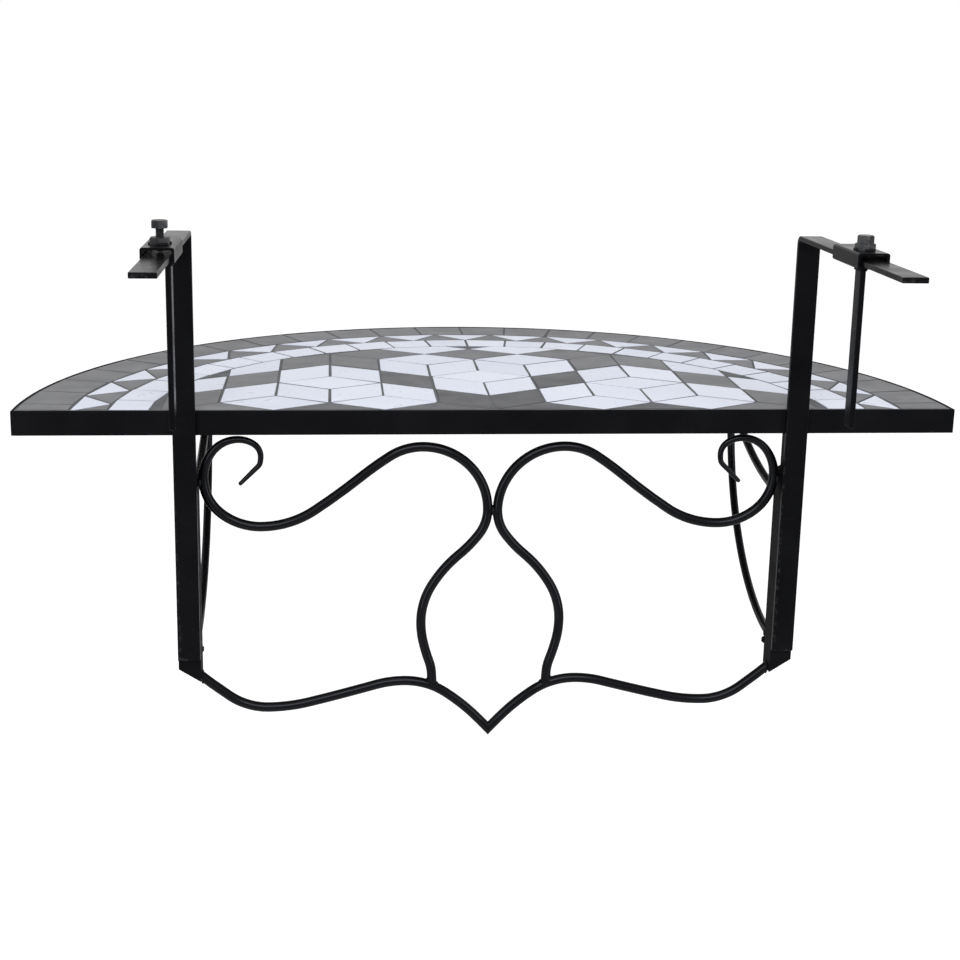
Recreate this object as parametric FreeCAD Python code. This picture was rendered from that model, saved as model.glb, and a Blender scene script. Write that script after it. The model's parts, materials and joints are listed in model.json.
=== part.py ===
import FreeCAD, Part
import math
import os

# A half-round table that hooks over a balcony railing. Millimetres, +Z up.
# Origin: midway between the two hooks, where their arms rest on the railing's top
# (z = 0) and where their legs lie against its side (y = 0). The table is on +Y.

os.makedirs("parts", exist_ok=True)
V = FreeCAD.Vector

# Tabletop
top_radius = 380.0
top_drop = 138.5
rim_height = 20.0
rim_wall = 2.0
ledge_width = 12.0
ledge_thickness = 2.0
board_thickness = 7.0
board_gap = 0.2
bed_thickness = 1.0
cross_bar_width = 25.0
cross_bar_thickness = 3.0
cross_bar_front_reach = 59.5
hook_to_rim_gap = 0.5

# Mosaic
tile_thickness = 4.0
grout_width = 2.2
grout_recess = 0.6
tile_gap = 0.15
mosaic_front_margin = 2.5
border_depth = 42.0
triangle_depth = 29.5
square_depth = 32.5
field_radius_in_sides = 5.362
square_count = 24
triangle_count = 19
border_count = 26
border_pitch = 7.16

# Hooks
hook_spacing = 493.0
hook_width = 18.0
hook_thickness = 4.0
hook_arm_length = 228.0
hook_leg_below_table = 207.7
hook_bend_radius = 3.0

# Uprights, steel angle behind the hooks' legs
angle_flange = 18.0
angle_web = 20.0
angle_thickness = 3.0
upright_above_hinge = 12.0
upright_top_slope = 24.0

# Rivets through hook and upright
rivet_shank = 5.0
rivet_head = 9.0
rivet_head_depth = 2.0
rivet_button_height = 2.0
rivet_from_hook_end = 7.1
rivet_pitch = 112.0
rivet_clearance = 0.05

# Hinge between tabletop and uprights
hinge_plate_thickness = 3.0
hinge_plate_radius = 7.0
hinge_side_gap = 0.3
hinge_front_gap = 0.5
hinge_drop = 57.0
hinge_pin_diameter = 6.0
hinge_pin_head = 10.0
hinge_pin_head_height = 2.5
hinge_pin_clearance = 0.05

# Bent rods of the front
scroll_rod = 8.0
curl_tip_diameter = 3.4
curl_tapered_bends = 4
curl_section_pitch = 5.0
valance_rod = 8.0
weld_gap = 0.05
valance_end_setback = 1.0
valance_end_drop = 214.8
valance_end_slope = 39.0
valance_end_run = 28.5
valance_low_inset = 54.5
valance_low_drop = 255.5
valance_wave_x = 118.0
valance_wave_drop = 243.5
valance_wave_slope = 15.0
valance_crest_x = 71.6
valance_crest_drop = 234.1
valance_tip_drop = 278.4
valance_tip_slope = 47.0
valance_tip_run = 12.0

# Nodes of the scroll rods: place across, height, and the way the rod runs there in degrees.
# The curl is measured in from its outermost point and the heart out from the middle plane,
# both down from the tabletop. The heart's foot is measured up from the valance's crest.
curl_nodes = ((29.4, 62.3, 135),
              (43.4, 48.3, 135),
              (45.8, 39.8, 90),
              (28.1, 25.8, 0),
              (0.0, 58.0, -90),
              (45.4, 98.6, -180))
heart_nodes = ((107.6, 57.4, -219.3),
               (57.9, 32.4, -180),
               (4.05, 86.0, -90),
               (26.8, 123.9, -40.7))
foot_nodes = ((57.7, 52.1, -90),
              (50.6, 17.1, -110))
scroll_foot_x = 47.7
scroll_foot_way = -93

# Swinging braces
post_diameter = 8.0
post_behind_web = 6.0
post_from_web = 3.0
post_above_ear = 4.0
post_below_ear = 3.0
brace_rod = 7.0
brace_reach = 165.6
ear_above_rod_end = 6.7
foot_bend_radius = 12.0
foot_length = 22.0
foot_clearance = 0.3
stay_below_ear = 9.0
stay_weld_turn = 1.0
ear_thickness = 3.0
ear_wall = 2.42
ear_below_plate = 2.0
ear_clearance = 0.3
post_clearance = 0.08

# Railing clamps
sleeve_wall = 2.0
sleeve_side_clearance = 0.5
sleeve_under_clearance = 0.2
sleeve_height = 7.4
sleeve_length = 56.0
sleeve_near = 148.0
clamp_leg_width = 12.0
clamp_leg_thickness = 4.0
clamp_leg_length = 114.3
clamp_leg_inset = 2.5
bolt_diameter = 6.0
bolt_clearance = 0.08
bolt_hole_diameter = 7.0
bolt_from_near_end = 20.0
bolt_tip_gap = 0.3
bolt_head_across = 10.4
bolt_head_height = 5.5
nut_across = 13.0
nut_height = 5.0
bolt_head_raised_left = 6.0
bolt_head_raised_right = 0.0

# Levels
table_z = -top_drop
tile_floor_z = table_z - tile_thickness
bed_floor_z = tile_floor_z - bed_thickness
board_floor_z = bed_floor_z - board_thickness
ledge_floor_z = board_floor_z - ledge_thickness
cross_bar_floor_z = board_floor_z - cross_bar_thickness
hook_foot_z = table_z - hook_leg_below_table

# Bands of the mosaic, from the rim inwards
rim_inner_radius = top_radius - rim_wall
triangle_band_radius = rim_inner_radius - border_depth
square_band_radius = triangle_band_radius - triangle_depth
field_radius = square_band_radius - square_depth
tile_side = field_radius / field_radius_in_sides

# Places shared by mating pieces
hook_x = hook_spacing / 2
rim_front_y = hook_thickness + hook_to_rim_gap
upright_front_y = hook_thickness
upright_back_y = upright_front_y + angle_web
web_inner_x = hook_x - angle_flange / 2
web_outer_x = web_inner_x + angle_thickness
rod_plane_y = upright_front_y + angle_web / 2
post_x = web_outer_x + post_from_web
post_y = upright_back_y + post_behind_web
ear_radius = post_diameter / 2 + ear_wall + post_clearance
cross_bar_front_y = rim_front_y + cross_bar_front_reach
cross_bar_rear_y = post_y + brace_reach
upright_top_drop = hinge_drop - upright_above_hinge
ear_upper_drop = hinge_drop + hinge_plate_radius + ear_below_plate


def box(x0, x1, y0, y1, z0, z1):
    return Part.makeBox(x1 - x0, y1 - y0, z1 - z0, V(x0, y0, z0))


def prism(points, z0, z1):
    outline = [V(x, y, z0) for x, y in points]
    face = Part.Face(Part.makePolygon(outline + outline[:1]))
    return face.extrude(V(0, 0, z1 - z0))


def cylinder_x(x0, x1, y, z, radius):
    return Part.makeCylinder(radius, x1 - x0, V(x0, y, z), V(1, 0, 0))


def hexagon(across, height, x, y, z):
    corner = across / math.sqrt(3)
    points = []
    for k in range(6):
        turn = math.radians(60 * k + 30)
        points.append((x + corner * math.cos(turn), y + corner * math.sin(turn)))
    return prism(points, z, z + height)


def mirrored(shape):
    return shape.mirror(V(0, 0, 0), V(1, 0, 0))


def one(shape):
    solids = shape.Solids
    return solids[0] if len(solids) == 1 else shape


def save(shape, node):
    shape.exportStep("parts/" + node + ".step")
    print(node, "solids", len(shape.Solids), "volume", round(shape.Volume))


def save_pair(shape, node):
    save(shape, node + "_right")
    save(mirrored(shape), node + "_left")


# Bent rods: nodes in a plane, each with the way the rod runs there, joined by pairs of
# tangent arcs.

def direction(degrees):
    turn = math.radians(degrees)
    return V(math.cos(turn), math.sin(turn), 0)


def arc_or_line(start, way, end):
    chord = end - start
    cross = way.x * chord.y - way.y * chord.x
    bend = math.atan2(cross, way.dot(chord))
    if abs(bend) < 1e-4:
        return [start, end]
    bulge = V(chord.y, -chord.x, 0) * (math.tan(bend / 2) / 2)
    return [start, start + chord / 2 + bulge, end]


def arc_pair(start, way0, end, way1):
    chord = end - start
    both = way0 + way1
    spread = 2 * (1 - way0.dot(way1))
    along = chord.dot(both)
    if spread < 1e-9:
        reach = chord.dot(chord) / (4 * chord.dot(way1))
    else:
        reach = (math.sqrt(along * along + spread * chord.dot(chord)) - along) / spread
    middle = (start + end + (way0 - way1) * reach) / 2
    back = arc_or_line(end, way1 * -1, middle)
    return [arc_or_line(start, way0, middle), back[::-1]]


def bent_runs(nodes):
    runs = []
    for a, b in zip(nodes, nodes[1:]):
        runs += arc_pair(V(a[0], a[1], 0), direction(a[2]), V(b[0], b[1], 0), direction(b[2]))
    return runs


def edge_of(points):
    if len(points) == 2:
        return Part.LineSegment(points[0], points[1]).toShape()
    return Part.Arc(points[0], points[1], points[2]).toShape()


def front_path(nodes):
    edges = []
    for run in bent_runs(nodes):
        edges.append(edge_of([V(p.x, rod_plane_y, p.y) for p in run]))
    return edges


def round_section(centre, way, side, diameter):
    turn = FreeCAD.Rotation(side, V(0, 0, 0), way, "ZXY")
    circle = Part.Circle(V(0, 0, 0), V(0, 0, 1), diameter / 2).toShape()
    circle.Placement = FreeCAD.Placement(centre, turn)
    return Part.Wire([circle])


def sweep(edges, diameter, side):
    first = edges[0]
    start = first.valueAt(first.FirstParameter)
    way = first.tangentAt(first.FirstParameter)
    section = round_section(start, way, side, diameter)
    rod = Part.Wire(edges).makePipeShell([section], True, False)
    length = sum(edge.Length for edge in edges)
    expected = math.pi * diameter * diameter / 4 * length
    print("  rod", round(length, 1), "mm long, volume over section x length",
          round(rod.Volume / expected, 4))
    return rod


# Tabletop

def half_disc(inset, z0, z1):
    y0 = rim_front_y + inset
    radius = top_radius - inset
    half = math.sqrt(radius * radius - inset * inset)
    left = V(-half, y0, z0)
    right = V(half, y0, z0)
    crown = V(0, rim_front_y + radius, z0)
    edges = [Part.LineSegment(left, right).toShape(), Part.Arc(right, crown, left).toShape()]
    return Part.Face(Part.Wire(edges)).extrude(V(0, 0, z1 - z0))


rim = half_disc(0, table_z - rim_height, table_z)
rim = rim.cut(half_disc(rim_wall, board_floor_z, table_z))
rim = rim.cut(half_disc(rim_wall, table_z - rim_height, ledge_floor_z))
rim = rim.cut(half_disc(rim_wall + ledge_width, table_z - rim_height, table_z))
save(one(rim), "tabletop_rim")

board = half_disc(rim_wall + board_gap, board_floor_z, bed_floor_z)
save(board, "backer_board")

for name, bar_y in (("cross_bar_front", cross_bar_front_y), ("cross_bar_rear", cross_bar_rear_y)):
    clear_radius = top_radius - rim_wall - ledge_width
    far_edge = bar_y + cross_bar_width / 2 - rim_front_y
    half = math.sqrt(clear_radius * clear_radius - far_edge * far_edge) - weld_gap
    bar = box(-half, half, bar_y - cross_bar_width / 2, bar_y + cross_bar_width / 2,
              cross_bar_floor_z, board_floor_z)
    save(bar, name)


# Mosaic. Each cell is where half planes meet; its tile stands back from every line by half
# the grout.

def keep_side(points, line):
    px, py, nx, ny = line
    kept = []
    for a, b in zip(points, points[1:] + points[:1]):
        da = (a[0] - px) * nx + (a[1] - py) * ny
        db = (b[0] - px) * nx + (b[1] - py) * ny
        if da >= 0:
            kept.append(a)
        if (da > 0) != (db > 0) and abs(da - db) > 1e-9:
            share = da / (da - db)
            kept.append((a[0] + (b[0] - a[0]) * share, a[1] + (b[1] - a[1]) * share))
    return kept


def polygon_lines(corners, inset):
    lines = []
    for a, b in zip(corners, corners[1:] + corners[:1]):
        length = math.hypot(b[0] - a[0], b[1] - a[1])
        nx = -(b[1] - a[1]) / length
        ny = (b[0] - a[0]) / length
        lines.append((a[0] + nx * inset, a[1] + ny * inset, nx, ny))
    return lines


def tidy(points):
    kept = []
    for p in points:
        if not kept or math.hypot(p[0] - kept[-1][0], p[1] - kept[-1][1]) > 0.3:
            kept.append(p)
    if len(kept) > 1 and math.hypot(kept[0][0] - kept[-1][0], kept[0][1] - kept[-1][1]) < 0.3:
        kept.pop()
    return kept


mosaic_front_y = rim_front_y + rim_wall + mosaic_front_margin
front_line = (0.0, mosaic_front_y + grout_width / 2, 0.0, 1.0)


def cell(corners, extra_lines):
    reach = 2 * top_radius
    points = [(-reach, -reach), (reach, -reach), (reach, reach), (-reach, reach)]
    for line in polygon_lines(corners, grout_width / 2) + extra_lines + [front_line]:
        points = keep_side(points, line)
    return tidy(points)


def polar(radius, degrees):
    turn = math.radians(degrees)
    return (radius * math.cos(turn), rim_front_y + radius * math.sin(turn))


def ring_lines(radius, count):
    corners = [polar(radius, 180.0 * k / count) for k in range(-1, count + 2)]
    return polygon_lines(corners, grout_width / 2)[:-1]


lattice_dx = tile_side * math.cos(math.radians(30))
lattice_dy = tile_side / 2
ring_edge = ring_lines(field_radius, square_count)

steps = {"flat": ((0, 0), (1, -1), (2, 0), (1, 1)),
         "rising": ((0, 0), (0, -2), (1, -1), (1, 1)),
         "falling": ((0, 0), (0, -2), (1, -3), (1, -1))}


def rhombus(kind, i, j):
    corners = []
    for di, dj in steps[kind]:
        corners.append(((i + di) * lattice_dx, mosaic_front_y + (j + dj) * lattice_dy))
    return cell(corners, ring_edge)


def both_sides(cells):
    out = []
    for points in cells:
        out.append(points)
        if min(p[0] for p in points) > 0:
            out.append([(-x, y) for x, y in points][::-1])
    return out


white_field = {"flat": ((0, 8), (-1, 5), (2, 4), (1, 1), (3, 1), (0, 10)),
               "rising": ((1, 7), (0, 4), (2, 6), (1, 3), (3, 3)),
               "falling": ((0, 8), (3, 7), (2, 4), (4, 4), (4, 8), (5, 5))}
dark_field = {"flat": ((-1, 9), (1, 9), (0, 0), (2, 0), (4, 0)),
              "rising": ((2, 8), (1, 5), (0, 2)),
              "falling": ((3, 9), (4, 6), (5, 3))}


def field(places):
    cells = []
    for kind in places:
        for i, j in places[kind]:
            cells.append(rhombus(kind, i, j))
    return both_sides([points for points in cells if len(points) > 2])


square_pitch = 180.0 / square_count


def band(inner, outer, count, pitch):
    cells = []
    for k in range(count):
        a = 90.0 + pitch * (k - count / 2)
        b = a + pitch
        cells.append(cell([polar(inner, a), polar(outer, a), polar(outer, b), polar(inner, b)], []))
    return cells


def zigzag(apex_inward):
    cells = []
    pitch = 180.0 / triangle_count
    count = triangle_count if apex_inward else triangle_count + 1
    for k in range(count):
        if apex_inward:
            corners = [polar(triangle_band_radius, k * pitch), polar(triangle_band_radius, (k + 1) * pitch),
                       polar(square_band_radius, (k + 0.5) * pitch)]
        else:
            corners = [polar(square_band_radius, (k - 0.5) * pitch), polar(triangle_band_radius, k * pitch),
                       polar(square_band_radius, (k + 0.5) * pitch)]
        cells.append(cell(corners, []))
    return cells


tile_groups = {"tiles_diamond_white": field(white_field),
               "tiles_diamond_dark": field(dark_field),
               "tiles_band_white": band(field_radius, square_band_radius, square_count, square_pitch),
               "tiles_triangle_white": zigzag(True),
               "tiles_triangle_dark": zigzag(False),
               "tiles_border_dark": band(triangle_band_radius, rim_inner_radius, border_count, border_pitch)}

pockets = []
for name in tile_groups:
    tiles = []
    for points in tile_groups[name]:
        if len(points) < 3:
            continue
        tiles.append(prism(points, tile_floor_z, table_z))
        lines = polygon_lines(points, -tile_gap)
        reach = 2 * top_radius
        wider = [(-reach, -reach), (reach, -reach), (reach, reach), (-reach, reach)]
        for line in lines:
            wider = keep_side(wider, line)
        pockets.append(prism(wider, tile_floor_z, table_z))
    save(Part.makeCompound(tiles), name)

grout = half_disc(rim_wall + board_gap, bed_floor_z, table_z - grout_recess)
grout = grout.cut(Part.makeCompound(pockets))
save(one(grout), "grout_bed")


# Hooks: flat bar with one bend, the leg drilled and countersunk for two rivets

def hook_profile():
    inner = hook_bend_radius
    outer = hook_bend_radius + hook_thickness
    mid = math.sqrt(0.5)
    x = hook_x - hook_width / 2
    corner = V(x, -inner, -inner)
    tip_low = V(x, -hook_arm_length, 0)
    tip_high = V(x, -hook_arm_length, hook_thickness)
    foot_front = V(x, 0, hook_foot_z)
    foot_back = V(x, hook_thickness, hook_foot_z)
    arm_low = V(x, -inner, 0)
    leg_front = V(x, 0, -inner)
    arm_high = V(x, -inner, hook_thickness)
    leg_back = V(x, hook_thickness, -inner)
    edges = [Part.LineSegment(tip_low, arm_low).toShape(),
             Part.Arc(arm_low, corner + V(0, inner * mid, inner * mid), leg_front).toShape(),
             Part.LineSegment(leg_front, foot_front).toShape(),
             Part.LineSegment(foot_front, foot_back).toShape(),
             Part.LineSegment(foot_back, leg_back).toShape(),
             Part.Arc(leg_back, corner + V(0, outer * mid, outer * mid), arm_high).toShape(),
             Part.LineSegment(arm_high, tip_high).toShape(),
             Part.LineSegment(tip_high, tip_low).toShape()]
    return Part.Face(Part.Wire(edges))


def rivet_body(z, grow):
    shank = rivet_shank / 2 + grow
    head = rivet_head / 2 + grow
    back = hook_thickness + angle_thickness
    button = rivet_head / 2
    outline = [V(0, 0, 0), V(head, 0, 0), V(shank, rivet_head_depth, 0), V(shank, back, 0)]
    if grow == 0:
        outline += [V(button, back, 0), V(button * 0.7, back + rivet_button_height, 0)]
        outline += [V(0, back + rivet_button_height, 0)]
    else:
        outline += [V(0, back, 0)]
    face = Part.Face(Part.makePolygon(outline + outline[:1]))
    solid = face.revolve(V(0, 0, 0), V(0, 1, 0), 360)
    solid.translate(V(hook_x, 0, z))
    return solid


lower_rivet_z = hook_foot_z + rivet_from_hook_end
rivet_levels = [lower_rivet_z + rivet_pitch, lower_rivet_z]
rivet_holes = [rivet_body(z, rivet_clearance) for z in rivet_levels]
rivets = Part.makeCompound([rivet_body(z, 0) for z in rivet_levels])

hook = hook_profile().extrude(V(hook_width, 0, 0))
for hole in rivet_holes:
    hook = hook.cut(hole)
save_pair(one(hook), "hook")
save_pair(rivets, "hook_rivets")


# Uprights: angle with a sloped top and a foot mitred to sit on the lower rod

valance_end_x = hook_x + angle_flange / 2 - valance_end_setback
slope = math.tan(math.radians(valance_end_slope))
rod_rise = valance_rod / 2 / math.cos(math.radians(valance_end_slope)) + weld_gap


def mitre_z(x):
    return table_z - valance_end_drop - (valance_end_x - x) * slope + rod_rise


flange_inner_x = web_inner_x
flange_outer_x = web_inner_x + angle_flange
tall = table_z - upright_top_drop
low = mitre_z(web_inner_x) - angle_web
upright = box(flange_inner_x, flange_outer_x, upright_front_y, upright_front_y + angle_thickness, low, tall)
upright = upright.fuse(box(web_inner_x, web_outer_x, upright_front_y, upright_back_y, low, tall))
upright = upright.removeSplitter()
top_fall = angle_web * math.tan(math.radians(upright_top_slope))
top_cut = Part.Face(Part.makePolygon([V(web_inner_x - 1, upright_front_y, tall),
                                      V(web_inner_x - 1, upright_back_y, tall),
                                      V(web_inner_x - 1, upright_back_y, tall - top_fall),
                                      V(web_inner_x - 1, upright_front_y, tall)]))
upright = upright.cut(top_cut.extrude(V(angle_flange + 2, 0, 0)))
foot_cut = Part.Face(Part.makePolygon([V(web_inner_x - 1, upright_front_y - 1, mitre_z(web_inner_x - 1)),
                                       V(flange_outer_x + 1, upright_front_y - 1, mitre_z(flange_outer_x + 1)),
                                       V(flange_outer_x + 1, upright_front_y - 1, low - 1),
                                       V(web_inner_x - 1, upright_front_y - 1, low - 1),
                                       V(web_inner_x - 1, upright_front_y - 1, mitre_z(web_inner_x - 1))]))
upright = upright.cut(foot_cut.extrude(V(0, angle_web + 2, 0)))
for hole in rivet_holes:
    upright = upright.cut(hole)

hinge_y = upright_front_y + angle_thickness + hinge_front_gap + hinge_plate_radius
hinge_z = table_z - hinge_drop
plate_inner_x = web_outer_x + hinge_side_gap
plate_outer_x = plate_inner_x + hinge_plate_thickness
pin_radius = hinge_pin_diameter / 2
pin_hole = cylinder_x(web_inner_x - 1, plate_outer_x + 1, hinge_y, hinge_z, pin_radius + hinge_pin_clearance)
upright = one(upright.cut(pin_hole))
save_pair(upright, "upright")

plate = box(plate_inner_x, plate_outer_x, hinge_y - hinge_plate_radius, hinge_y + hinge_plate_radius,
            hinge_z, ledge_floor_z)
plate = plate.fuse(cylinder_x(plate_inner_x, plate_outer_x, hinge_y, hinge_z, hinge_plate_radius))
plate = plate.removeSplitter().cut(pin_hole)
save_pair(one(plate), "hinge_plate")

pin = cylinder_x(web_inner_x, plate_outer_x, hinge_y, hinge_z, pin_radius)
pin = pin.fuse(cylinder_x(plate_outer_x, plate_outer_x + hinge_pin_head_height, hinge_y, hinge_z,
                          hinge_pin_head / 2))
save_pair(one(pin), "hinge_pin")


# Valance rod: two bent halves that meet in a mitred point

run_x = valance_end_x - valance_end_run * math.cos(math.radians(valance_end_slope))
run_z = -valance_end_drop - valance_end_run * math.sin(math.radians(valance_end_slope))
low_x = web_inner_x - valance_low_inset
tip_slope = math.radians(valance_tip_slope)
tip_x = valance_tip_run * math.cos(tip_slope)
tip_z = -valance_tip_drop + valance_tip_run * math.sin(tip_slope)
over_x = -2 * valance_rod * math.cos(tip_slope)
over_z = -valance_tip_drop - 2 * valance_rod * math.sin(tip_slope)
valance_nodes = [(valance_end_x, -valance_end_drop, 180 + valance_end_slope),
                 (run_x, run_z, 180 + valance_end_slope),
                 (low_x, -valance_low_drop, 180),
                 (valance_wave_x, -valance_wave_drop, 180 - valance_wave_slope),
                 (valance_crest_x, -valance_crest_drop, 180),
                 (tip_x, tip_z, 180 + valance_tip_slope),
                 (over_x, over_z, 180 + valance_tip_slope)]
valance_nodes = [(x, z + table_z, way) for x, z, way in valance_nodes]
valance_edges = front_path(valance_nodes)
half_rod = sweep(valance_edges, valance_rod, V(0, 1, 0))
keep_right = box(0, hook_spacing, rod_plane_y - valance_rod, rod_plane_y + valance_rod,
                 table_z + over_z - valance_rod, table_z)
half_rod = half_rod.common(keep_right)
valance = half_rod.fuse(mirrored(half_rod)).removeSplitter()
save(one(valance), "valance_rod")


# Scroll rods: curl against the upright, long rise to the crown, down past each other's
# weld and out again to the lower rod

curl_outer_x = web_inner_x - scroll_rod / 2 - 2 * weld_gap
scroll_nodes = [(curl_outer_x - inward, table_z - drop, way) for inward, drop, way in curl_nodes]
scroll_nodes += [(x, table_z - drop, way) for x, drop, way in heart_nodes]
scroll_nodes += [(x, table_z - valance_crest_drop + rise, way) for x, rise, way in foot_nodes]
plumb_line = Part.LineSegment(V(scroll_foot_x, rod_plane_y, table_z),
                              V(scroll_foot_x, rod_plane_y, table_z + over_z)).toShape()
foot_point = plumb_line.distToShape(Part.Wire(valance_edges))[1][0][0]
scroll_nodes.append((scroll_foot_x, foot_point.z, scroll_foot_way))
scroll_edges = front_path(scroll_nodes)
curl_edges = scroll_edges[:2 * curl_tapered_bends]
curl_length = sum(edge.Length for edge in curl_edges)


def curl_section(edge, share, along):
    at = edge.FirstParameter + (edge.LastParameter - edge.FirstParameter) * share
    wide = curl_tip_diameter + (scroll_rod - curl_tip_diameter) * along / curl_length
    return round_section(edge.valueAt(at), edge.tangentAt(at), V(0, 1, 0), wide)


sections = []
passed = 0.0
for edge in curl_edges:
    steps_along = max(1, round(edge.Length / curl_section_pitch))
    for k in range(steps_along):
        sections.append(curl_section(edge, k / steps_along, passed + edge.Length * k / steps_along))
    passed += edge.Length
sections.append(curl_section(curl_edges[-1], 1.0, curl_length))
taper = Part.makeLoft(sections, True, False)
print("  curl", round(curl_length, 1), "mm long, sections", len(sections), "volume", round(taper.Volume))
scroll = sweep(scroll_edges[2 * curl_tapered_bends:], scroll_rod, V(0, 1, 0)).fuse(taper)
scroll = scroll.cut(valance)
save_pair(one(scroll), "scroll")


# Swinging braces: a post in two ears, a long curved rod with a foot under the rear cross bar,
# and a stay that meets it

foot_z = cross_bar_floor_z - foot_clearance - brace_rod / 2
arc_z = foot_z - foot_bend_radius
ear_lower_z = table_z - valance_end_drop + ear_above_rod_end


def arc_through(rise):
    return (brace_reach ** 2 + rise ** 2) / (2 * brace_reach)


def dip_over_ear(rise):
    beyond = min(max(brace_reach - arc_through(rise), 0), ear_radius)
    return beyond * max(brace_reach - arc_through(rise), 0) / rise


arc_start_z = ear_lower_z + ear_clearance + brace_rod / 2
arc_start_z += dip_over_ear(arc_z - arc_start_z)
brace_arc_radius = arc_through(arc_z - arc_start_z)
arc_y = post_y + brace_reach - brace_arc_radius
start_turn = math.atan2(arc_start_z - arc_z, post_y - arc_y)
half_turn = start_turn / 2
far_y = post_y + brace_reach
bend = foot_bend_radius * math.sqrt(0.5)
long_edges = [Part.Arc(V(post_x, post_y, arc_start_z),
                       V(post_x, arc_y + brace_arc_radius * math.cos(half_turn),
                         arc_z + brace_arc_radius * math.sin(half_turn)),
                       V(post_x, far_y, arc_z)).toShape(),
              Part.Arc(V(post_x, far_y, arc_z),
                       V(post_x - foot_bend_radius + bend, far_y, arc_z + bend),
                       V(post_x - foot_bend_radius, far_y, foot_z)).toShape(),
              Part.LineSegment(V(post_x - foot_bend_radius, far_y, foot_z),
                               V(post_x - foot_length, far_y, foot_z)).toShape()]
long_rod = sweep(long_edges, brace_rod, V(1, 0, 0))

post_bottom_z = ear_lower_z - ear_thickness - post_below_ear
post_top_z = table_z - ear_upper_drop + post_above_ear
post = Part.makeCylinder(post_diameter / 2, post_top_z - post_bottom_z, V(post_x, post_y, post_bottom_z))

stay_z = table_z - ear_upper_drop - ear_thickness - stay_below_ear
weld_turn = math.radians(stay_weld_turn)
stay_end_y = arc_y + brace_arc_radius * math.cos(weld_turn)
stay_end_z = arc_z - brace_arc_radius * math.sin(weld_turn)
stay_rise = stay_end_z - stay_z
stay_arc_radius = ((stay_end_y - post_y) ** 2 + stay_rise ** 2) / (2 * stay_rise)
stay_turn = math.asin((stay_end_y - post_y) / stay_arc_radius)
stay_mid = V(post_x, post_y + stay_arc_radius * math.sin(stay_turn / 2),
             stay_z + stay_arc_radius * (1 - math.cos(stay_turn / 2)))
stay_edges = [Part.Arc(V(post_x, post_y, stay_z), stay_mid, V(post_x, stay_end_y, stay_end_z)).toShape()]
stay = sweep(stay_edges, brace_rod, V(1, 0, 0))

save_pair(post, "brace_post")
save_pair(one(long_rod.cut(post)), "brace_rod")
save_pair(one(stay.cut(post).cut(long_rod)), "brace_stay")

ears = []
post_hole = Part.makeCylinder(post_diameter / 2 + post_clearance, post_top_z - post_bottom_z,
                              V(post_x, post_y, post_bottom_z))
for level in (table_z - ear_upper_drop, ear_lower_z):
    ear = box(web_outer_x, post_x + ear_radius, upright_front_y + angle_thickness, post_y,
              level - ear_thickness, level)
    ear = ear.fuse(Part.makeCylinder(ear_radius, ear_thickness, V(post_x, post_y, level - ear_thickness)))
    ears.append(one(ear.removeSplitter().cut(post_hole).cut(upright)))
save_pair(Part.makeCompound(ears), "brace_ears")


# Railing clamps: a closed sleeve round the arm, a leg that hangs from it, and a bolt in a
# nut welded on top

sleeve_inner = hook_width / 2 + sleeve_side_clearance
sleeve_outer = sleeve_inner + sleeve_wall
sleeve_floor = -sleeve_under_clearance
sleeve_roof = sleeve_floor + sleeve_height
sleeve_top = sleeve_roof + sleeve_wall
sleeve_bottom = sleeve_floor - sleeve_wall
near_y = -sleeve_near
far_end_y = near_y + sleeve_length
bolt_y = near_y + bolt_from_near_end
sleeve = box(hook_x - sleeve_outer, hook_x + sleeve_outer, near_y, far_end_y, sleeve_bottom, sleeve_top)
sleeve = sleeve.cut(box(hook_x - sleeve_inner, hook_x + sleeve_inner, near_y, far_end_y,
                        sleeve_floor, sleeve_roof))
sleeve = sleeve.cut(Part.makeCylinder(bolt_hole_diameter / 2, sleeve_wall, V(hook_x, bolt_y, sleeve_roof)))
save_pair(one(sleeve), "clamp_sleeve")

leg_x = hook_x - sleeve_outer + clamp_leg_inset
leg = box(leg_x, leg_x + clamp_leg_thickness, near_y, near_y + clamp_leg_width,
          sleeve_bottom - clamp_leg_length, sleeve_bottom)
save_pair(leg, "clamp_leg")

nut = hexagon(nut_across, nut_height, hook_x, bolt_y, sleeve_top)
nut = nut.cut(Part.makeCylinder(bolt_diameter / 2 + bolt_clearance, nut_height, V(hook_x, bolt_y, sleeve_top)))
save_pair(one(nut), "clamp_nut")

head_z = sleeve_top + nut_height
tip_z = hook_thickness + bolt_tip_gap


def clamp_bolt(raised):
    shank = Part.makeCylinder(bolt_diameter / 2, head_z + raised - tip_z, V(hook_x, bolt_y, tip_z))
    return one(shank.fuse(hexagon(bolt_head_across, bolt_head_height, hook_x, bolt_y, head_z + raised)))


save(clamp_bolt(bolt_head_raised_right), "clamp_bolt_right")
save(mirrored(clamp_bolt(bolt_head_raised_left)), "clamp_bolt_left")
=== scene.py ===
# %% [markdown]
# # A balcony railing table
# This lesson dresses a finished model of a half-round mosaic table that hangs on a balcony
# railing. The model itself is loaded as a fixed frame: every size and place is already right.
# What is left for Blender is what the eye notices next: eased edges, glazed tiles, grout,
# welds, screw threads and the skin of the black powder coat.

# %% Load the model
import math
import json
import random
import bpy
import bmesh
from mathutils import Matrix, Vector

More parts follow.
